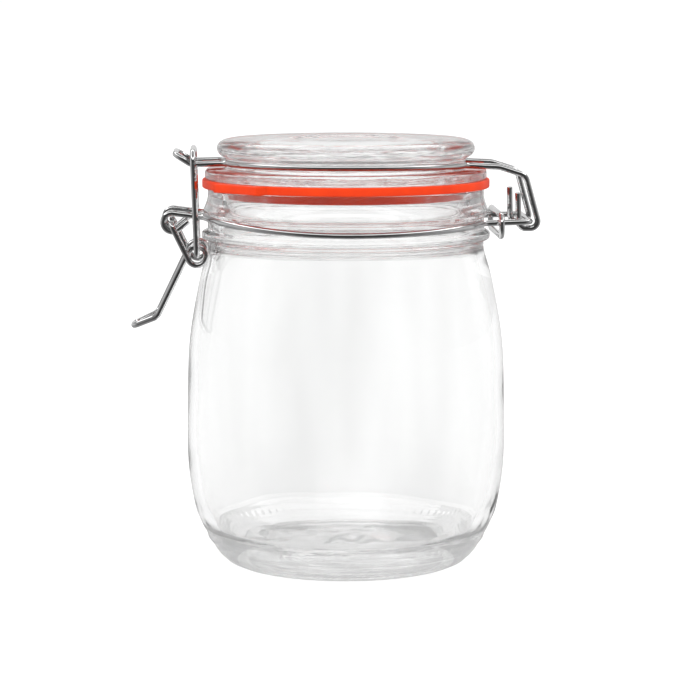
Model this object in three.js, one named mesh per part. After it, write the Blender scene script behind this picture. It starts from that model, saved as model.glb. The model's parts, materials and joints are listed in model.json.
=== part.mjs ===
// Bail clamp jar: a glass jar with a hinged glass lid, a rubber gasket and a bent-wire clamp.
// Millimetres, +Z up. The origin is on the jar's axis, in the plane that the jar stands on.
// The latch is towards -X and the hinge towards +X.
import * as THREE from 'three';
import { mergeVertices } from 'three/addons/utils/BufferGeometryUtils.js';

// ---- driving dimensions ----
const SIDES = 48;               // facets round every turned piece
const WIRE_R = 1.0;             // radius of all the steel wire
const WIRE_SIDES = 8;
const BEND_STEP = 20;           // degrees between sections in a bend
const RING_STEP = 7.5;          // degrees between sections round a ring
const GAP = 0.3;                // clearance between touching pieces

// glass jar
const BASE_PANEL_R = 30;        // recessed flat panel under the jar
const BASE_PANEL_Z = 0.9;
const FOOT_IN_R = 32.5;         // flat ring that the jar stands on
const FOOT_OUT_R = 38.5;
const NECK_R = 46.5;
const MOUTH_R = 41;
const RIM_Z = 127.6;            // top of the glass rim
const FLOOR_Z = 6.2;            // inside floor
const GROOVE_R = 46.6;          // groove that holds the neck wire

// gasket and lid
const GASKET_OUT_R = 48.5;
const GASKET_IN_R = 39.9;
const GASKET_Z = RIM_Z + GAP;
const GASKET_T = 2.2;
const SKIRT_R = 39.9;           // outside of the gasket's inner skirt at its lower edge
const SKIRT_T = 0.8;
const SKIRT_Z = 124.2;          // the skirt's lower edge, inside the mouth
const TAB_ANGLE = 223;          // degrees from +X round to the pull tab
const TAB_HALF_WIDTH = 10.5;
const TAB_REACH = 51;           // from the axis to the tab's straight end
const LID_Z = GASKET_Z + GASKET_T + GAP;
const FLANGE_R = 47.4;
const LID_GROOVE_R = 40.4;
const CREST_Z = 144;
const TOP_PANEL_R = 18.4;       // shallow round recess in the top of the lid

// wires: places are [x, z] in the middle plane, widths are half of the spacing of the two sides
const HINGE = [60.8, 116.9];
const PIVOT = [-58.7, 116.1];
const COIL = [-50.1, 105.5];
const NECK_WIRE = { radius: 48.2, z: 115, latchRise: 3.5, hingeRise: 1.6, latchSlack: 1 };
const LOOP_HALF = 16.8;
const EYE_HALF = 10.8;
const EYE = [-58.2, 116.6];
const EYE_R = 3.1;
const WIRE_END = [-53.1, 116.8];  // the cut end that runs back from each eye
const RING_X = 50.9;            // place of the closing ring on the hinge loop
const RING_TURN_R = 3.5;
const RING_SAG = 1.2;           // its middle hangs below the loop's legs
const LID_WIRE = { radius: 41.8, z: 136.3, latchRise: -0.1, hingeRise: -0.9, latchSlack: 0 };
const HOOK_HALF = 14;
const HOOK_R = 2.4;
const HOOK_END = [56.8, 126.5]; // the cut end of each hook
const NOSE_HALF = 11;
const NOSE_BEND = [-51.9, 135.9];
const NOSE_TIP = [-57.1, 139.2];
const COIL_R = 3.1;
const ARM_HALF = 13.2;
const PIVOT_INNER = 9.3;        // where the lever's pivot ends stop
const COIL_HALF = 10.9;         // inner side of each coil
const BEND_HALF = 7.5;          // the handle narrows from the coils to its bend and on to its tip
const TIP_HALF = 3.8;
const HANDLE_BEND = [-63.7, 84.6];
const HANDLE_TIP = [-71.6, 81.2];
const LINK_HALF = 15.5;
const LINK_INNER = 10.6;
const LINK_TOP = [-51.3, 140.1];

const radians = THREE.MathUtils.degToRad;
const v2 = (x, y) => new THREE.Vector2(x, y);
const v3 = (x, y, z) => new THREE.Vector3(x, y, z);

// ---- materials ----
const glass = () => new THREE.MeshStandardMaterial({
  color: 0xe6eeec, roughness: 0.05, metalness: 0, transparent: true, opacity: 0.45,
});
const rubber = () => new THREE.MeshStandardMaterial({ color: 0xd9480f, roughness: 0.55, metalness: 0 });
const steel = () => new THREE.MeshStandardMaterial({ color: 0xb9bcc0, roughness: 0.22, metalness: 1 });

const group = new THREE.Group();

function addPiece(name, geometry, material) {
  geometry.deleteAttribute('uv');
  geometry.deleteAttribute('normal');
  const closed = mergeVertices(geometry, 1e-4);
  closed.computeVertexNormals();
  const mesh = new THREE.Mesh(closed, material);
  mesh.name = name;
  group.add(mesh);
}

// Turned solid: the outline is [radius, z] points from the axis, out, and back to the axis.
function turned(outline) {
  const lathe = new THREE.LatheGeometry(outline.map(([r, z]) => v2(r, z)), SIDES);
  return lathe.rotateX(Math.PI / 2);
}

// Smooth stretch of an outline through a few [radius, z] points.
function smooth(points, pieces) {
  return new THREE.SplineCurve(points.map(([r, z]) => v2(r, z))).getPoints(pieces).map((p) => [p.x, p.y]);
}

// ---- wire bending ----

// A route whose parameter runs evenly over its own sample points.
class Route extends THREE.Curve {
  constructor(samples) {
    super();
    this.samples = samples;
  }

  getPoint(t) {
    return this.samples[Math.round(t * (this.samples.length - 1))].clone();
  }

  getPointAt(t) {
    return this.getPoint(t);
  }

  getTangentAt(t) {
    const last = this.samples.length - 1;
    const i = Math.round(t * last);
    const before = this.samples[Math.max(i - 1, 0)];
    const after = this.samples[Math.min(i + 1, last)];
    return after.clone().sub(before).normalize();
  }
}

// Round one corner of a bent wire: an arc of the given radius, tangent to both straight runs.
function bend(before, corner, after, radius) {
  const inward = before.clone().sub(corner).normalize();
  const onward = after.clone().sub(corner).normalize();
  const half = inward.angleTo(onward) / 2;
  const turn = Math.PI - 2 * half;
  const middle = inward.clone().add(onward).normalize();
  const centre = corner.clone().addScaledVector(middle, radius / Math.sin(half));
  const start = corner.clone().addScaledVector(inward, radius / Math.tan(half)).sub(centre);
  const axis = start.clone().cross(middle.clone().negate()).normalize();
  const steps = Math.max(2, Math.ceil(THREE.MathUtils.radToDeg(turn) / BEND_STEP));
  return Array.from({ length: steps + 1 }, (_, i) => (
    start.clone().applyAxisAngle(axis, (turn * i) / steps).add(centre)
  ));
}

// A bent wire's samples: corners is a list of [point, bend radius]; radius 0 keeps the point as it is.
function bent(corners) {
  return corners.flatMap(([point, radius], i) => (
    radius > 0 ? bend(corners[i - 1][0], point, corners[i + 1][0], radius) : [point]
  ));
}

function wireSection() {
  const corners = Array.from({ length: WIRE_SIDES }, (_, i) => {
    const turn = (2 * Math.PI * (i + 0.5)) / WIRE_SIDES;
    return v2(WIRE_R * Math.cos(turn), WIRE_R * Math.sin(turn));
  });
  return new THREE.Shape(corners);
}

function wire(samples) {
  return new THREE.ExtrudeGeometry(wireSection(), {
    steps: samples.length - 1, extrudePath: new Route(samples), bevelEnabled: false, curveSegments: 1,
  });
}

// The far side of a wire is the near side mirrored in the plane y = 0, run backwards.
function mirrored(corners) {
  return corners.map(([p, r]) => [v3(p.x, -p.y, p.z), r]).reverse();
}

// Ring stretch on the near side (y < 0) from the angle of the latch legs to that of the hinge legs.
// The ring is lifted and widened towards the latch, and lifted towards the hinge.
function nearRing({ radius, z, latchRise, hingeRise, latchSlack }, latchHalf, hingeHalf) {
  const place = (a) => {
    const end = Math.cos(a) ** 2;
    const towardsLatch = a < Math.PI / 2;
    const r = radius + (towardsLatch ? latchSlack : 0) * end;
    return v3(-r * Math.cos(a), -r * Math.sin(a), z + (towardsLatch ? latchRise : hingeRise) * end);
  };
  const first = Math.asin(latchHalf / (radius + latchSlack));
  const last = Math.PI - Math.asin(hingeHalf / radius);
  const steps = Math.round((last - first) / radians(RING_STEP));
  return Array.from({ length: steps + 1 }, (_, i) => place(first + ((last - first) * i) / steps));
}

// The two ends of a ring stretch are bends into its legs; the points between are plain.
function ringCorners(points, endRadius) {
  const last = points.length - 1;
  return points.map((p, i) => [p, i === 0 || i === last ? endRadius : 0]);
}

// ---- glass jar ----
function jarOutline() {
  const side = smooth([
    [44.1, 4.5], [47.1, 9.6], [49.3, 13.8], [51.5, 19.8], [53.6, 33.7], [53.8, 50], [53, 75], [49.6, 95.5],
    [46.8, 106], [46.5, 109],
  ], 20);
  const inside = smooth([
    [MOUTH_R + 0.2, 117], [42.6, 109], [44.6, 101.5], [49.7, 78], [50.7, 50], [50.3, 34], [47.6, 19],
    [42.6, 11.2], [34, 7.4],
  ], 16);
  return [
    [0, BASE_PANEL_Z], [BASE_PANEL_R, BASE_PANEL_Z], [FOOT_IN_R, 0], [FOOT_OUT_R, 0], [41.6, 1.6],
    ...side,
    [48.3, 110.3], [48.5, 111.2], [48.2, 112.5], [GROOVE_R, 113.6], [GROOVE_R, 117.4], [47.6, 118],
    [47.8, 118.9], [47.5, 120.4], [46.9, 122.4], [46.4, 124.4], [NECK_R, RIM_Z - 1.4], [46.2, RIM_Z],
    [MOUTH_R + 1.2, RIM_Z], [MOUTH_R, RIM_Z - 1.4],
    ...inside,
    [18, FLOOR_Z], [0, FLOOR_Z + 0.5],
  ];
}

// ---- glass lid ----
function lidOutline() {
  const crest = smooth([
    [LID_GROOVE_R, 137.2], [42.6, 138.6], [43.4, 140.7], [42.4, 142.9], [39.8, 143.8], [37, CREST_Z],
  ], 12);
  return [
    [0, 138.2], [27, 137.8], [33, 135.2], [34.6, 130.8], [35.8, 124.8], [38.6, 124.8], [39.4, LID_Z],
    [FLANGE_R - 0.6, LID_Z], [FLANGE_R, LID_Z + 0.7], [FLANGE_R, 132.7], [46.4, 133.9],
    [LID_GROOVE_R + 0.4, 134.1], [LID_GROOVE_R, 134.6],
    ...crest,
    [TOP_PANEL_R, CREST_Z], [TOP_PANEL_R - 0.8, CREST_Z - 0.8], [0, CREST_Z - 0.9],
  ];
}

// ---- gasket: a flat ring with a short straight-ended pull tab and a thin skirt inside the mouth ----
function gasket() {
  const tabCorner = Math.atan2(TAB_HALF_WIDTH, TAB_REACH);
  const tabRoot = Math.asin(TAB_HALF_WIDTH / GASKET_OUT_R);
  const tabAngles = [-1, -0.5, 0, 0.5, 1].map((t) => t * tabCorner);
  const rest = Array.from({ length: SIDES }, (_, i) => (
    tabRoot + ((2 * Math.PI - 2 * tabRoot) * i) / (SIDES - 1)
  ));
  const onTab = (a) => Math.abs(a) <= tabCorner;
  const section = (a) => {
    const reach = onTab(a) ? TAB_REACH / Math.cos(a) : GASKET_OUT_R;
    return [
      [reach, GASKET_Z], [reach, GASKET_Z + GASKET_T], [GASKET_IN_R, GASKET_Z + GASKET_T],
      [SKIRT_R - SKIRT_T, SKIRT_Z], [SKIRT_R, SKIRT_Z], [GASKET_IN_R + SKIRT_T, GASKET_Z],
    ];
  };
  const angles = [...tabAngles, ...rest];
  const places = angles.flatMap((a) => section(a).map(([r, z]) => (
    v3(r * Math.cos(a), r * Math.sin(a), z).applyAxisAngle(v3(0, 0, 1), radians(TAB_ANGLE))
  )));
  const corners = places.length / angles.length;
  const faces = angles.flatMap((_, i) => Array.from({ length: corners }, (__, j) => {
    const next = (j + 1) % corners;
    const [a, b] = [i * corners + j, i * corners + next];
    const [c, d] = [b, a].map((k) => (k + corners) % places.length);
    return [a, c, b, a, d, c];
  })).flat();
  const ring = new THREE.BufferGeometry().setFromPoints(places);
  ring.setIndex(faces);
  return ring;
}

// ---- lid wire: hinge hook, round the lid, out to the nose, back to the other hinge hook ----
function lidWire() {
  const ring = nearRing(LID_WIRE, NOSE_HALF, HOOK_HALF);
  const hookBottom = HINGE[1] - HOOK_R;
  const near = [
    [v3(NOSE_TIP[0], -NOSE_HALF, NOSE_TIP[1]), 3],
    [v3(NOSE_BEND[0], -NOSE_HALF, NOSE_BEND[1]), 3.5],
    ...ringCorners(ring, 3),
    [v3(50.5, -HOOK_HALF, 135), 7],
    [v3(59.3, -HOOK_HALF, 132.2), 4],
    [v3(64.2, -HOOK_HALF, hookBottom), HOOK_R],
    [v3(57.1, -HOOK_HALF, hookBottom), HOOK_R],
    [v3(HOOK_END[0], -HOOK_HALF, HOOK_END[1]), 0],
  ];
  return wire(bent([...mirrored(near), ...near]));
}

// ---- neck wire: latch eye, round the neck, hinge loop, back round the neck to the other eye ----
function neckWire() {
  const ring = nearRing(NECK_WIRE, EYE_HALF, LOOP_HALF);
  const eye = (degrees) => v3(
    EYE[0] + EYE_R * Math.cos(radians(degrees)), -EYE_HALF, EYE[1] + EYE_R * Math.sin(radians(degrees)),
  );
  const turns = Array.from({ length: 11 }, (_, i) => [eye(292 - BEND_STEP * i), 0]);
  const near = [
    [v3(WIRE_END[0], -EYE_HALF, WIRE_END[1]), 0],
    ...turns,
    ...ringCorners(ring, 3.5),
    [v3(HINGE[0], -LOOP_HALF, HINGE[1]), 2.4],
  ];
  return wire(bent([...near, ...mirrored(near)]));
}

// ---- closing ring: a long ring round both legs of the hinge loop ----
function closingRing() {
  const halfTurn = (y, from) => Array.from({ length: 9 }, (_, i) => {
    const a = radians(from + 22.5 * i);
    const rise = RING_TURN_R * Math.sin(a) - RING_SAG;
    return v3(RING_X, y + RING_TURN_R * Math.cos(a), HINGE[1] - 0.1 + rise);
  });
  const samples = [...halfTurn(LOOP_HALF, -90), ...halfTurn(-LOOP_HALF, 90)];
  samples.push(samples[0].clone());
  return new THREE.TubeGeometry(new Route(samples), samples.length - 1, WIRE_R, WIRE_SIDES, true);
}

// ---- lever: pivot end, arm, coil, handle, and the same back on the other side ----
function lever() {
  const [px, pz] = PIVOT;
  const [cx, cz] = COIL;
  const [bx, bz] = HANDLE_BEND;
  const tangent = (x, z) => Math.acos(COIL_R / Math.hypot(x - cx, z - cz));
  const handleAngle = Math.atan2(bz - cz, bx - cx) - tangent(bx, bz) + 2 * Math.PI;
  const armAngle = Math.atan2(pz - cz, px - cx) + tangent(px, pz) - 2 * Math.PI;
  const steps = 15;
  const coil = Array.from({ length: steps + 1 }, (_, i) => {
    const t = i / steps;
    const a = handleAngle + (armAngle - handleAngle) * t;
    const y = COIL_HALF + (ARM_HALF - COIL_HALF) * t;
    return [v3(cx + COIL_R * Math.cos(a), -y, cz + COIL_R * Math.sin(a)), 0];
  });
  const near = [
    [v3(HANDLE_TIP[0], -TIP_HALF, HANDLE_TIP[1]), 3],
    [v3(bx, -BEND_HALF, bz), 4],
    ...coil,
    [v3(px, -ARM_HALF, pz), 1.6],
    [v3(px, -PIVOT_INNER, pz), 0],
  ];
  return wire(bent([...mirrored(near), ...near]));
}

// ---- link: from one coil up, across the nose, and down to the other coil ----
function link() {
  const [cx, cz] = COIL;
  const near = [
    [v3(LINK_TOP[0], -LINK_HALF, LINK_TOP[1]), 4],
    [v3(cx, -LINK_HALF, cz), 1.6],
    [v3(cx, -LINK_INNER, cz), 0],
  ];
  return wire(bent([...mirrored(near), ...near]));
}

addPiece('glass_jar', turned(jarOutline()), glass());
addPiece('glass_lid', turned(lidOutline()), glass());
addPiece('rubber_gasket', gasket(), rubber());
addPiece('lid_wire', lidWire(), steel());
addPiece('neck_wire', neckWire(), steel());
addPiece('closing_ring', closingRing(), steel());
addPiece('lever', lever(), steel());
addPiece('link', link(), steel());

export default group;
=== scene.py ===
"""Looks of the bail clamp jar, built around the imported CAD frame.

Outlines and wire routes are in millimetres and turned into metres when a mesh is made.
The jar stands on z = 0 with its axis on the origin, the latch towards -X and the hinge towards +X.
"""

import json
import math

import bpy
from mathutils import Matrix, Vector, noise


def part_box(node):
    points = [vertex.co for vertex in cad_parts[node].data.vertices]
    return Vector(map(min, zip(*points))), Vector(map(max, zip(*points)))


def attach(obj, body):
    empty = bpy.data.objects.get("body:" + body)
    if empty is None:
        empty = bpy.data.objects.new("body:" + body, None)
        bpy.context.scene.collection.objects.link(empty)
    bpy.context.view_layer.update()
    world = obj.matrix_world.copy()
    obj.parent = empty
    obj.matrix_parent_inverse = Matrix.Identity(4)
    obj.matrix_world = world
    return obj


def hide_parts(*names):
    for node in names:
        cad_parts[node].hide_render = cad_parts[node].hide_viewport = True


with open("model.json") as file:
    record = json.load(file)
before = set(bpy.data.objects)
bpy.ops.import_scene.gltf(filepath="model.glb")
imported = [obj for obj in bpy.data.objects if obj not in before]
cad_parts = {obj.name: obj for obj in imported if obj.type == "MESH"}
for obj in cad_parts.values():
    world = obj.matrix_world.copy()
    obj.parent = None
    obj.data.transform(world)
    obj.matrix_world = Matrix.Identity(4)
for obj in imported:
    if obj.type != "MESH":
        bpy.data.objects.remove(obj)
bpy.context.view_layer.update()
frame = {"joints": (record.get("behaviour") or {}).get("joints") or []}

MM = 0.001

# ---- camera ----
CAMERA_DISTANCE = 0.935
CAMERA_AZIMUTH = -2.4
CAMERA_ELEVATION = 7.4
CAMERA_LENS = 141.5
CAMERA_TARGET = Vector((0.0014, 0, 0.072))

# ---- surroundings ----
# Each stop is (place, grey). Place 0 is straight down or on the camera's side.
# Place 1 is straight up or on the far side.
WORLD_STRENGTH = 1.04
STUDIO_HEIGHT = [(0.0, 1.0), (0.8, 1.0), (1.0, 0.85)]
STUDIO_FRONT = [(0.05, 0.97), (0.35, 1.0)]
FLAGS_HEIGHT = [(0.0, 0.35), (0.3, 0.4), (0.55, 0.75), (0.7, 0.35), (0.8, 0.4), (1.0, 0.5)]
FLAGS_FRONT = [(0.08, 0.1), (0.55, 1.0)]
STRIP_HEIGHT = [(0.79, 0.0), (0.82, 1.0), (0.86, 1.0), (0.9, 0.0)]
STRIP_GAIN = 2.4
FLOOR_HALF = 40
FLOOR_GREY = 0.15
FLOOR_GLOW = 0.95
SUN_POWER = 1.6
SUN_SPREAD = 120
SOFTBOX_AIM = (0, 0, 0.08)
SOFTBOXES = [
    ("top_softbox", (-0.5, -0.6, 1.3), (0.9, 0.5), 8),
    ("side_softbox", (1.2, -0.7, 0.7), (0.35, 1.0), 5),
]

# ---- glass ----
JAR_SEGMENTS = 384
LID_SEGMENTS = 256
NECK_R = 46.5
MOUTH_R = 41
RIM_Z = 127.6
GROOVE_R = 46.6
FLANGE_R = 47.4
LID_Z = 130.4
LID_GROOVE_R = 40.4
CREST_Z = 144
TOP_PANEL_R = 18.4
HEEL_Z = 12.8                   # the glass is thick below this, in the heel and floor
SHOULDER_Z = 107                # and thick above this, in the neck
WALL_MIDDLE = [
    (3, 38), (7.4, 40.5), (11.2, 45.3), (20, 49.7), (34, 52), (50, 52.2), (78, 51.2), (95.5, 47.9),
    (101.5, 46.4), (109, 44.6), (RIM_Z, 43.8),
]
HEEL_ALPHA = 0.62
NECK_ALPHA = 0.84
LID_ALPHA = 0.9
# A streak strength above 0 also paints shade into the glass tint as darker strokes.
HEEL_STREAKS = 0.6
LID_STREAKS = 0.3
INNER_WAVE = 0.22
FLOOR_SWELL = 0.9
FLOOR_TOP_Z = 12
HEEL_RIPPLE = 0.12
HEEL_RIPPLE_Z = 12
DOT_COUNT = 96
DOT_Z = 8.6
DOT_R = 0.75
DOT_HEIGHT = 0.5

# ---- gasket ----
GASKET_OUT_R = 48.4
GASKET_IN_R = 39.9
SKIRT_R = 39.85
SKIRT_T = 0.75
GASKET_SQUEEZE = 0.32           # how far the soft ring fills the CAD clearance above it
GASKET_BITE = 0.02              # how far it is pressed into the rim below it
EDGE_BULGE = 0.45
EDGE_SQUARENESS = 0.35
TAB_ANGLE = 223
TAB_HALF_WIDTH = 10.5
TAB_REACH = 51
ARC_STEPS = 220
TAB_STEPS = 12

# ---- wires: the same routes as the CAD wires, half widths from the middle plane ----
WIRE_R = 1.0
WIRE_SIDES = 24
BEND_STEP = 6
RING_STEP = 3
WIRE_END_EDGE = 0.35
NECK_WIRE = {"radius": 48.2, "z": 115, "latch_rise": 3.5, "hinge_rise": 1.6, "latch_slack": 1}
LOOP_HALF = 16.8
EYE_HALF = 10.8
EYE = (-58.2, 116.6)
EYE_R = 3.1
EYE_FIRST_ANGLE = 292
EYE_STEPS = 33
WIRE_END = (-53.2, 116.8)
CLOSING_X = 50.9
CLOSING_R = 3.5
CLOSING_SAG = 1.3
CLOSING_STEPS = 24
LID_WIRE = {"radius": 41.8, "z": 136.3, "latch_rise": -0.1, "hinge_rise": -0.9, "latch_slack": 0}
HOOK_HALF = 14
HOOK_R = 2.4
HOOK_END = (56.8, 126.1)
HINGE_LEG_TOP = (50.5, 135)
HINGE_LEG_MIDDLE = (59.3, 132.2)
HOOK_OUTER_X = 64.2
HOOK_INNER_X = 57.1
NOSE_HALF = 11
NOSE_BEND = (-51.9, 135.9)
NOSE_TIP = (-57.1, 139.2)
COIL_R = 3.1
ARM_HALF = 13.2
PIVOT_INNER = 9.6
COIL_HALF = 10.9
COIL_STEPS = 50
BEND_HALF = 7.5
TIP_HALF = 3.8
HANDLE_BEND = (-63.7, 84.6)
HANDLE_TIP = (-71.6, 81.2)
LINK_HALF = 15.5
LINK_INNER = 10.9
LINK_TOP = (-51.3, 140.1)


def joint_place(name):
    """A joint's [x, z] in millimetres, from the frame."""
    joint = next(j for j in frame["joints"] if j["name"] == name)
    return joint["pos_m"][0] / MM, joint["pos_m"][2] / MM


HINGE = joint_place("lid_hinge")
PIVOT = joint_place("lever_pivot")
COIL = joint_place("link_pivot")


# ---- camera, floor and lights ----

def add_camera():
    azimuth = math.radians(CAMERA_AZIMUTH)
    elevation = math.radians(CAMERA_ELEVATION)
    away = Vector((
        math.sin(azimuth) * math.cos(elevation),
        -math.cos(azimuth) * math.cos(elevation),
        math.sin(elevation),
    ))
    data = bpy.data.cameras.new("camera")
    data.lens = CAMERA_LENS
    data.sensor_width = 36
    data.clip_end = 100
    camera = bpy.data.objects.new("camera", data)
    camera.location = CAMERA_TARGET + away * CAMERA_DISTANCE
    camera.rotation_euler = away.to_track_quat("Z", "Y").to_euler()
    bpy.context.scene.collection.objects.link(camera)
    bpy.context.scene.camera = camera


def add_floor():
    """A plain pale floor out to the horizon, which glows like a lit shooting table."""
    half = FLOOR_HALF
    mesh = bpy.data.meshes.new("floor")
    corners = [(-half, -half, 0), (half, -half, 0), (half, half, 0), (-half, half, 0)]
    mesh.from_pydata(corners, [], [(0, 1, 2, 3)])
    floor = bpy.data.objects.new("floor", mesh)
    bpy.context.scene.collection.objects.link(floor)
    material = bpy.data.materials.new("floor_white")
    material.use_nodes = True
    shader = material.node_tree.nodes["Principled BSDF"]
    shader.inputs["Base Color"].default_value = (FLOOR_GREY, FLOOR_GREY, FLOOR_GREY, 1)
    shader.inputs["Emission Color"].default_value = (1, 1, 1, 1)
    shader.inputs["Emission Strength"].default_value = FLOOR_GLOW
    shader.inputs["Roughness"].default_value = 0.9
    shader.inputs["Specular IOR Level"].default_value = 0.1
    mesh.materials.append(material)
    floor.visible_glossy = False


def add_world():
    """A white studio. Polished surfaces see darker surroundings, as they do between black flags."""
    world = bpy.data.worlds.new("studio")
    bpy.context.scene.world = world
    world.use_nodes = True
    nodes, links = world.node_tree.nodes, world.node_tree.links
    nodes.clear()
    place = nodes.new("ShaderNodeTexCoord")
    split = nodes.new("ShaderNodeSeparateXYZ")
    links.new(place.outputs["Generated"], split.inputs[0])

    def along(axis, stops):
        place_on_ramp = nodes.new("ShaderNodeMapRange")
        place_on_ramp.inputs["From Min"].default_value = -1
        links.new(split.outputs[axis], place_on_ramp.inputs["Value"])
        ramp = nodes.new("ShaderNodeValToRGB")
        set_ramp(ramp.color_ramp, stops)
        links.new(place_on_ramp.outputs["Result"], ramp.inputs[0])
        return ramp.outputs["Color"]

    def blended(blend_type, first, second):
        both = nodes.new("ShaderNodeMix")
        both.data_type = "RGBA"
        both.blend_type = blend_type
        both.inputs["Factor"].default_value = 1
        links.new(first, both.inputs["A"])
        links.new(second, both.inputs["B"])
        return both.outputs["Result"]

    ray = nodes.new("ShaderNodeLightPath")
    pick = nodes.new("ShaderNodeMix")
    pick.data_type = "RGBA"
    reflected = nodes.new("ShaderNodeMath")
    reflected.operation = "SUBTRACT"
    reflected.use_clamp = True
    links.new(ray.outputs["Is Glossy Ray"], reflected.inputs[0])
    links.new(ray.outputs["Is Transmission Ray"], reflected.inputs[1])
    links.new(reflected.outputs[0], pick.inputs["Factor"])
    studio = blended("MULTIPLY", along("Z", STUDIO_HEIGHT), along("Y", STUDIO_FRONT))
    flags = blended("MULTIPLY", along("Z", FLAGS_HEIGHT), along("Y", FLAGS_FRONT))
    links.new(studio, pick.inputs["A"])
    strip = nodes.new("ShaderNodeVectorMath")
    strip.operation = "SCALE"
    strip.inputs["Scale"].default_value = STRIP_GAIN
    links.new(along("Z", STRIP_HEIGHT), strip.inputs[0])
    links.new(blended("ADD", flags, strip.outputs[0]), pick.inputs["B"])
    background = nodes.new("ShaderNodeBackground")
    background.inputs["Strength"].default_value = WORLD_STRENGTH
    links.new(pick.outputs["Result"], background.inputs["Color"])
    output = nodes.new("ShaderNodeOutputWorld")
    links.new(background.outputs[0], output.inputs["Surface"])


def add_softbox(name, place, size, power):
    data = bpy.data.lights.new(name, "AREA")
    data.shape = "RECTANGLE"
    data.size, data.size_y = size
    data.energy = power
    light = bpy.data.objects.new(name, data)
    light.location = place
    light.rotation_euler = (Vector(place) - Vector(SOFTBOX_AIM)).to_track_quat("Z", "Y").to_euler()
    light.visible_camera = False
    light.visible_glossy = False
    light.visible_transmission = False
    bpy.context.scene.collection.objects.link(light)


def add_sun():
    """Even light on the whole floor, which is what keeps the ground white out to the horizon."""
    data = bpy.data.lights.new("sky_fill", "SUN")
    data.energy = SUN_POWER
    data.angle = math.radians(SUN_SPREAD)
    sun = bpy.data.objects.new("sky_fill", data)
    sun.visible_glossy = False
    sun.visible_transmission = False
    bpy.context.scene.collection.objects.link(sun)


# ---- node helpers ----

def set_ramp(ramp, stops):
    """Stops are (place, value), where value is a grey or an (r, g, b)."""
    while len(ramp.elements) < len(stops):
        ramp.elements.new(0.5)
    for element, (place, value) in zip(ramp.elements, stops):
        element.position = place
        colour = (value, value, value) if isinstance(value, (int, float)) else value
        element.color = (*colour, 1)


class Shader:
    """A principled material with the few node chains that all the pieces share."""

    def __init__(self, name):
        self.material = bpy.data.materials.new(name)
        self.material.use_nodes = True
        self.tree = self.material.node_tree
        self.bsdf = self.tree.nodes["Principled BSDF"]
        self.place = self.tree.nodes.new("ShaderNodeTexCoord").outputs["Object"]

    def set(self, **values):
        for name, value in values.items():
            self.bsdf.inputs[name.replace("_", " ")].default_value = value

    def noise(self, scale, detail=3.0, stretch=(1, 1, 1)):
        mapping = self.tree.nodes.new("ShaderNodeMapping")
        mapping.inputs["Scale"].default_value = stretch
        self.tree.links.new(self.place, mapping.inputs["Vector"])
        texture = self.tree.nodes.new("ShaderNodeTexNoise")
        texture.inputs["Scale"].default_value = scale
        texture.inputs["Detail"].default_value = detail
        self.tree.links.new(mapping.outputs[0], texture.inputs["Vector"])
        return texture.outputs["Fac"]

    def ramp(self, value, stops, target):
        node = self.tree.nodes.new("ShaderNodeValToRGB")
        set_ramp(node.color_ramp, stops)
        self.tree.links.new(value, node.inputs[0])
        self.tree.links.new(node.outputs["Color"], self.bsdf.inputs[target])

    def span(self, value, low, high, target):
        node = self.tree.nodes.new("ShaderNodeMapRange")
        node.inputs["To Min"].default_value = low
        node.inputs["To Max"].default_value = high
        self.tree.links.new(value, node.inputs["Value"])
        self.tree.links.new(node.outputs["Result"], self.bsdf.inputs[target])

    def bump(self, value, strength, distance):
        node = self.tree.nodes.new("ShaderNodeBump")
        node.inputs["Strength"].default_value = strength
        node.inputs["Distance"].default_value = distance
        self.tree.links.new(value, node.inputs["Height"])
        self.tree.links.new(node.outputs["Normal"], self.bsdf.inputs["Normal"])


def glass_material(name, alpha, streaks=0.0):
    """Clear soda-lime glass, with level streaks where it is pressed thick and slow waves where it is blown.
    Where it is pressed thick, the streaks are also darkened into the tint as painted shade, standing in for
    the dark strokes that refraction draws in thick glass.

    An alpha under 1 lets some light straight through, which keeps thick glass from going black.
    """
    shader = Shader(name)
    shader.set(Metallic=0.0, IOR=1.46, Alpha=alpha, Transmission_Weight=1.0)
    shader.span(shader.noise(60, 4), 0.0, 0.02, "Roughness")
    if streaks:
        streaks_and_painted_shade = shader.noise(30, 3, (1, 1, 22))
        # painted shade: the streaks darken the glass tint, standing in for the dark strokes that refraction
        # draws in thick glass
        shader.ramp(streaks_and_painted_shade, [(0.35, (0.9, 0.902, 0.901)), (0.5, (0.995, 0.996, 0.996))], "Base Color")
        shader.bump(streaks_and_painted_shade, streaks, 0.0008)
    else:
        clouds = shader.noise(38, 2, (1, 1, 0.18))
        shader.ramp(clouds, [(0.35, (0.85, 0.852, 0.851)), (0.65, (0.94, 0.942, 0.941))], "Base Color")
        shader.bump(shader.noise(55, 1.5, (1, 1, 0.5)), 0.12, 0.0006)
    return shader.material


def rubber_material():
    """Orange-red ring rubber: slightly cloudy, satin, with a fine moulded grain."""
    shader = Shader("ring_rubber")
    shader.set(Metallic=0.0, IOR=1.5, Specular_IOR_Level=0.2)
    shader.ramp(shader.noise(120, 5), [(0.3, (0.61, 0.03, 0.001)), (0.7, (0.71, 0.04, 0.001))], "Base Color")
    shader.span(shader.noise(300, 3), 0.4, 0.6, "Roughness")
    shader.bump(shader.noise(2200, 2), 0.12, 0.00012)
    return shader.material


def steel_material():
    """Bright drawn stainless wire: a few soft cloudy patches and fine drawing marks."""
    shader = Shader("drawn_steel")
    shader.set(Metallic=1.0)
    shader.ramp(shader.noise(180, 4), [(0.3, (0.6, 0.6, 0.605)), (0.7, (0.74, 0.74, 0.74))], "Base Color")
    shader.span(shader.noise(500, 4), 0.04, 0.14, "Roughness")
    shader.bump(shader.noise(1500, 3), 0.06, 0.00008)
    return shader.material


# ---- meshes ----

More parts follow.
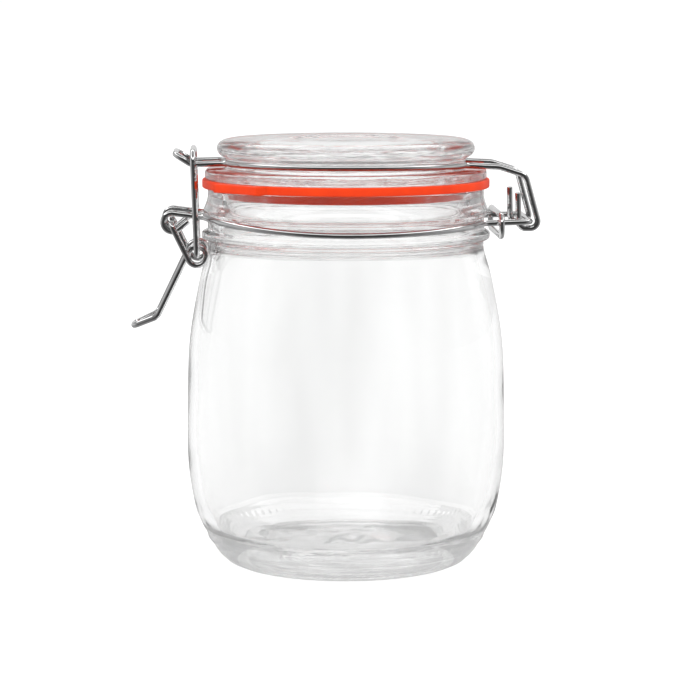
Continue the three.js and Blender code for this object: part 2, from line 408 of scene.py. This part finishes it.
def add_mesh(name, points, faces, material):
    """A smooth-shaded closed mesh from millimetre points."""
    mesh = bpy.data.meshes.new(name)
    mesh.from_pydata([Vector(p) * MM for p in points], [], faces)
    mesh.polygons.foreach_set("use_smooth", [True] * len(mesh.polygons))
    mesh.materials.append(material)
    mesh.update()
    piece = bpy.data.objects.new(name, mesh)
    bpy.context.scene.collection.objects.link(piece)
    return piece


def declare(piece, body, node):
    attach(piece, body)
    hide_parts(node)


def catmull(points, steps):
    """A smooth curve through the points, with the given number of steps between each two."""
    ends = [2 * points[0] - points[1], *points, 2 * points[-1] - points[-2]]
    curve = []
    for a, b, c, d in zip(ends, ends[1:], ends[2:], ends[3:]):
        for i in range(steps):
            t = i / steps
            curve.append(0.5 * (
                2 * b + (c - a) * t + (2 * a - 5 * b + 4 * c - d) * t ** 2 + (3 * b - a - 3 * c + d) * t ** 3
            ))
    return curve + [points[-1]]


def bend(before, corner, after, radius, step):
    """An arc of the given radius round one corner, tangent to both straight runs."""
    inward = (before - corner).normalized()
    onward = (after - corner).normalized()
    half = inward.angle(onward) / 2
    turn = math.pi - 2 * half
    middle = (inward + onward).normalized()
    centre = corner + middle * (radius / math.sin(half))
    start = corner + inward * (radius / math.tan(half)) - centre
    axis = start.cross(-middle).normalized()
    steps = max(2, math.ceil(math.degrees(turn) / step))
    return [centre + Matrix.Rotation(turn * i / steps, 3, axis) @ start for i in range(steps + 1)]


def rounded(corners, step):
    """Corners are (point, radius); radius 0 keeps the point as it is."""
    route = []
    for i, (point, radius) in enumerate(corners):
        if radius > 0:
            route += bend(corners[i - 1][0], point, corners[i + 1][0], radius, step)
        else:
            route.append(point)
    return route


def outline(parts):
    """A lathe outline from (r, z, radius) corners and from lists of (r, z) that become smooth curves."""
    corners = []
    for part in parts:
        if isinstance(part, list):
            curve = catmull([Vector((r, 0, z)) for r, z in part], 10)
            corners += [(p, 0) for p in curve]
        else:
            corners.append((Vector((part[0], 0, part[1])), part[2]))
    return [(p.x, p.z) for p in rounded(corners, 12)]


def lathe(name, points, segments, material, shift=None):
    """Turns an outline that starts and ends on the axis. shift moves each (r, z, angle)."""
    inner = points[1:-1]
    verts = [(0, 0, points[0][1])]
    for r, z in inner:
        for k in range(segments):
            angle = 2 * math.pi * k / segments
            radius, height = shift(r, z, angle) if shift else (r, z)
            verts.append((radius * math.cos(angle), radius * math.sin(angle), height))
    verts.append((0, 0, points[-1][1]))
    last = len(verts) - 1
    faces = []
    for k in range(segments):
        following = (k + 1) % segments
        faces.append((0, 1 + following, 1 + k))
        for j in range(len(inner) - 1):
            row, above = 1 + j * segments, 1 + (j + 1) * segments
            faces.append((row + k, row + following, above + following, above + k))
        top = 1 + (len(inner) - 1) * segments
        faces.append((top + k, top + following, last))
    return add_mesh(name, verts, faces, material)


def tube(name, route, material, closed=False):
    """A round wire along the route. An open wire has softly rounded ends."""
    count = len(route)
    tangents = []
    for i in range(count):
        before = route[i - 1] if i or closed else route[0]
        after = route[(i + 1) % count] if i < count - 1 or closed else route[-1]
        tangents.append((after - before).normalized())
    side = tangents[0].orthogonal().normalized()
    rings = []
    for i in range(count):
        if i:
            side = tangents[i - 1].rotation_difference(tangents[i]) @ side
        side = (side - tangents[i] * side.dot(tangents[i])).normalized()
        rings.append((route[i], tangents[i], side, WIRE_R))
    if not closed:
        rings = rounded_end(rings[0], -1) + rings + rounded_end(rings[-1], 1)[::-1]
    verts = []
    for centre, along, side, radius in rings:
        up = along.cross(side)
        for k in range(WIRE_SIDES):
            angle = 2 * math.pi * k / WIRE_SIDES
            verts.append(centre + (side * math.cos(angle) + up * math.sin(angle)) * radius)
    faces = []
    spans = len(rings) if closed else len(rings) - 1
    for i in range(spans):
        row, above = i * WIRE_SIDES, ((i + 1) % len(rings)) * WIRE_SIDES
        for k in range(WIRE_SIDES):
            following = (k + 1) % WIRE_SIDES
            faces.append((row + k, row + following, above + following, above + k))
    if not closed:
        faces.append(tuple(reversed(range(WIRE_SIDES))))
        faces.append(tuple(range(len(verts) - WIRE_SIDES, len(verts))))
    return add_mesh(name, verts, faces, material)


def rounded_end(ring, way):
    """The last few sections of a cut wire end, whose edge is rounded over. The outermost comes first."""
    centre, along, side, radius = ring
    sections = []
    for degrees in (90, 60, 30):
        a = math.radians(degrees)
        reach = way * WIRE_END_EDGE * math.sin(a)
        sections.append((centre + along * reach, along, side, radius - WIRE_END_EDGE * (1 - math.cos(a))))
    return sections


# ---- glass jar ----

def jar_outline():
    return outline([
        (0, 0.9, 0), (29, 0.9, 6), (33, 0.0, 3), (38, 0.0, 4),
        [(40.9, 1.3), (44.1, 4.5), (47.1, 9.6), (49.3, 13.8), (51.5, 19.8), (53.6, 33.7), (53.8, 50),
         (53.0, 75), (49.6, 95.5), (46.8, 106), (46.5, 108.8)],
        (46.6, 109.8, 0.7), (48.6, 110.6, 0.8), (48.6, 112.6, 0.9), (GROOVE_R, 113.6, 0.8),
        (GROOVE_R, 117.8, 0.7),
        [(47.6, 118.4), (48.0, 119.3), (47.8, 120.6), (47.1, 122.4), (46.6, 124.3), (NECK_R, 126.0)],
        (NECK_R, RIM_Z, 1.0), (MOUTH_R, RIM_Z, 1.5),
        [(MOUTH_R, 122), (MOUTH_R + 0.2, 117), (42.6, 109), (44.8, 101.5), (49.7, 78), (50.7, 50), (50.3, 34),
         (47.6, 19), (42.6, 11.2), (34, 7.4), (24, 6.2), (12, 6.5)],
        (0, 6.9, 0),
    ])


def heel_dot(r, z, angle):
    """How far a row of small moulded bumps stands out of the heel here."""
    turn = angle * DOT_COUNT / (2 * math.pi)
    across = (turn - round(turn)) * 2 * math.pi * r / DOT_COUNT
    far = math.hypot(across, z - DOT_Z) / DOT_R
    return DOT_HEIGHT * math.exp(-far ** 2)


def wall_middle(z):
    """The radius halfway through the glass at a height."""
    for (low, r_low), (high, r_high) in zip(WALL_MIDDLE, WALL_MIDDLE[1:]):
        if z <= high:
            return r_low + (r_high - r_low) * (z - low) / (high - low)
    return WALL_MIDDLE[-1][1]


def jar_shift(r, z, angle):
    """Blown glass is never quite even: slow waves inside, and a rippled floor and heel."""
    spot = Vector((math.cos(angle), math.sin(angle), z / 30))
    if z < 3 or r > wall_middle(z):
        fade = max(0, 1 - abs(z - HEEL_RIPPLE_Z) / HEEL_RIPPLE_Z)
        ripple = HEEL_RIPPLE * noise.noise(spot * 9) * fade
        return r + heel_dot(r, z, angle) + ripple, z
    if z < FLOOR_TOP_Z:
        swell = noise.noise(Vector((r * math.cos(angle), r * math.sin(angle), 7)) / 13)
        return r, z + FLOOR_SWELL * swell * min(1, r / 12)
    wave = INNER_WAVE * noise.noise(spot * 1.7) * max(0, min(1, (112 - z) / 20))
    return r + wave, z


def build_jar(heel, wall, neck):
    piece = lathe("jar_glass", jar_outline(), JAR_SEGMENTS, heel, jar_shift)
    piece.data.materials.append(wall)
    piece.data.materials.append(neck)
    for face in piece.data.polygons:
        height = face.center.z / MM
        face.material_index = (height > HEEL_Z) + (height > SHOULDER_Z)
    declare(piece, "jar", "glass_jar")


# ---- glass lid ----

def lid_outline():
    return outline([
        (0, 138.2, 0), (27, 137.9, 4), (33.6, 135.4, 3), (35.9, 124.8, 0.8), (38.6, 124.8, 0.8),
        (39.4, LID_Z, 0.4), (FLANGE_R, LID_Z, 0.8), (FLANGE_R, 133.9, 1.3), (LID_GROOVE_R + 0.1, 134.2, 1.0),
        (LID_GROOVE_R, 137.4, 0.8),
        [(41.2, 137.8), (42.7, 138.9), (43.4, 140.7), (42.5, 142.7), (40.2, 143.7), (37, CREST_Z)],
        (TOP_PANEL_R, CREST_Z, 0.8), (TOP_PANEL_R - 1.2, CREST_Z - 0.45, 0.8),
        (0, CREST_Z - 0.5, 0),
    ])


def build_lid(material):
    piece = lathe("lid_glass", lid_outline(), LID_SEGMENTS, material)
    declare(piece, "lid", "glass_lid")


# ---- gasket ----

def gasket_edge():
    """The outer edge in plan: a circle with a short straight-ended tab."""
    turn = math.radians(TAB_ANGLE)
    half = math.asin(TAB_HALF_WIDTH / GASKET_OUT_R)
    arc = []
    for i in range(ARC_STEPS + 1):
        angle = turn + half + (2 * math.pi - 2 * half) * i / ARC_STEPS
        arc.append(Vector((math.cos(angle), math.sin(angle), 0)) * GASKET_OUT_R)
    spin = Matrix.Rotation(turn, 3, "Z")
    ends = [spin @ Vector((TAB_REACH, side * TAB_HALF_WIDTH, 0)) for side in (-1, 1)]
    middles = [ends[0].lerp(ends[1], i / TAB_STEPS) for i in range(1, TAB_STEPS)]
    return [*arc, ends[0], *middles, ends[1]]


def build_gasket(material):
    """The squeezed ring and its thin inner skirt, swept round the plan outline."""
    low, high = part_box("rubber_gasket")
    top = high.z / MM + GASKET_SQUEEZE
    under = RIM_Z - GASKET_BITE
    skirt_z = low.z / MM
    middle, half = (top + under) / 2, (top - under) / 2
    edge = gasket_edge()
    count = len(edge)
    section = []
    for degrees in range(-90, 91, 15):
        a = math.radians(degrees)
        rise = half * math.copysign(abs(math.sin(a)) ** EDGE_SQUARENESS, a)
        section.append((True, EDGE_BULGE * (math.cos(a) - 1), middle + rise))
    section += [
        (False, GASKET_IN_R + 0.2, top),
        (False, GASKET_IN_R, top - 0.2),
        (False, SKIRT_R - SKIRT_T, skirt_z + 0.2),
        (False, SKIRT_R - SKIRT_T + 0.15, skirt_z),
        (False, SKIRT_R - 0.15, skirt_z),
        (False, SKIRT_R, skirt_z + 0.2),
        (False, GASKET_IN_R + SKIRT_T, under - 0.6),
        (False, GASKET_IN_R + SKIRT_T + 0.5, under),
    ]
    verts = []
    for on_edge, offset, height in section:
        for p in edge:
            ray = p.normalized()
            plan = p + ray * offset if on_edge else ray * offset
            verts.append(plan + Vector((0, 0, height)))
    faces = []
    for j in range(len(section)):
        row, above = j * count, ((j + 1) % len(section)) * count
        for k in range(count):
            following = (k + 1) % count
            faces.append((row + k, row + following, above + following, above + k))
    piece = add_mesh("gasket_ring", verts, faces, material)
    declare(piece, "lid", "rubber_gasket")


# ---- wires ----

def at(place, half):
    """A point on the near side of a wire, from its [x, z] and its half width."""
    return Vector((place[0], -half, place[1]))


def far_side(corners):
    return [(Vector((p.x, -p.y, p.z)), radius) for p, radius in reversed(corners)]


def near_ring(ring, latch_half, hinge_half, end_radius):
    """The near half of a ring wire, from its latch leg to its hinge leg."""
    first = math.asin(latch_half / (ring["radius"] + ring["latch_slack"]))
    last = math.pi - math.asin(hinge_half / ring["radius"])
    steps = round(math.degrees(last - first) / RING_STEP)
    corners = []
    for i in range(steps + 1):
        a = first + (last - first) * i / steps
        end = math.cos(a) ** 2
        at_latch = a < math.pi / 2
        radius = ring["radius"] + (ring["latch_slack"] if at_latch else 0) * end
        height = ring["z"] + (ring["latch_rise"] if at_latch else ring["hinge_rise"]) * end
        corners.append((Vector((-radius * math.cos(a), -radius * math.sin(a), height)), 0))
    # A leg's bend takes up the first and last stretch of the ring.
    skip = 2
    corners = [corners[0], *corners[1 + skip:-1 - skip], corners[-1]]
    corners[0] = (corners[0][0], end_radius)
    corners[-1] = (corners[-1][0], end_radius)
    return corners


def lid_wire_route():
    bottom = HINGE[1] - HOOK_R
    near = [
        (at(NOSE_TIP, NOSE_HALF), 3),
        (at(NOSE_BEND, NOSE_HALF), 3.5),
        *near_ring(LID_WIRE, NOSE_HALF, HOOK_HALF, 3),
        (at(HINGE_LEG_TOP, HOOK_HALF), 7),
        (at(HINGE_LEG_MIDDLE, HOOK_HALF), 4),
        (at((HOOK_OUTER_X, bottom), HOOK_HALF), HOOK_R),
        (at((HOOK_INNER_X, bottom), HOOK_HALF), HOOK_R),
        (at(HOOK_END, HOOK_HALF), 0),
    ]
    return rounded(far_side(near) + near, BEND_STEP)


def neck_wire_route():
    def eye(degrees):
        a = math.radians(degrees)
        return at((EYE[0] + EYE_R * math.cos(a), EYE[1] + EYE_R * math.sin(a)), EYE_HALF)

    near = [
        (at(WIRE_END, EYE_HALF), 0),
        *[(eye(EYE_FIRST_ANGLE - BEND_STEP * i), 0) for i in range(EYE_STEPS + 1)],
        *near_ring(NECK_WIRE, EYE_HALF, LOOP_HALF, 3.5),
        (at(HINGE, LOOP_HALF), 2.4),
    ]
    return rounded(near + far_side(near), BEND_STEP)


def closing_ring_route():
    route = []
    for side, first in ((1, -90), (-1, 90)):
        for i in range(CLOSING_STEPS + 1):
            a = math.radians(first + 180 * i / CLOSING_STEPS)
            rise = CLOSING_R * math.sin(a) - CLOSING_SAG
            y = side * LOOP_HALF + CLOSING_R * math.cos(a)
            route.append(Vector((CLOSING_X, y, HINGE[1] + rise)))
    return route


def lever_route():
    def tangent(place):
        return math.acos(COIL_R / math.hypot(place[0] - COIL[0], place[1] - COIL[1]))

    def direction(place):
        return math.atan2(place[1] - COIL[1], place[0] - COIL[0])

    handle_angle = direction(HANDLE_BEND) - tangent(HANDLE_BEND) + 2 * math.pi
    arm_angle = direction(PIVOT) + tangent(PIVOT) - 2 * math.pi
    coil = []
    for i in range(COIL_STEPS + 1):
        t = i / COIL_STEPS
        a = handle_angle + (arm_angle - handle_angle) * t
        half = COIL_HALF + (ARM_HALF - COIL_HALF) * t
        coil.append((at((COIL[0] + COIL_R * math.cos(a), COIL[1] + COIL_R * math.sin(a)), half), 0))
    near = [
        (at(HANDLE_TIP, TIP_HALF), 3),
        (at(HANDLE_BEND, BEND_HALF), 4),
        *coil,
        (at(PIVOT, ARM_HALF), 1.6),
        (at(PIVOT, PIVOT_INNER), 0),
    ]
    return rounded(far_side(near) + near, BEND_STEP)


def link_route():
    near = [
        (at(LINK_TOP, LINK_HALF), 4),
        (at(COIL, LINK_HALF), 1.6),
        (at(COIL, LINK_INNER), 0),
    ]
    return rounded(far_side(near) + near, BEND_STEP)


def build_wires(material):
    wires = [
        ("lid_wire_steel", lid_wire_route(), "lid", "lid_wire", False),
        ("neck_wire_steel", neck_wire_route(), "jar", "neck_wire", False),
        ("closing_ring_steel", closing_ring_route(), "jar", "closing_ring", True),
        ("lever_steel", lever_route(), "lever", "lever", False),
        ("link_steel", link_route(), "link", "link", False),
    ]
    for name, route, body, node, closed in wires:
        declare(tube(name, route, material, closed), body, node)


add_camera()
add_world()
add_floor()
add_sun()
for softbox in SOFTBOXES:
    add_softbox(*softbox)

build_jar(
    glass_material("clear_glass_heel", HEEL_ALPHA, HEEL_STREAKS),
    glass_material("clear_glass_wall", 1.0),
    glass_material("clear_glass_neck", NECK_ALPHA),
)
build_lid(glass_material("clear_glass_lid", LID_ALPHA, LID_STREAKS))
build_gasket(rubber_material())
build_wires(steel_material())

bpy.context.scene.view_settings.view_transform = "Standard"
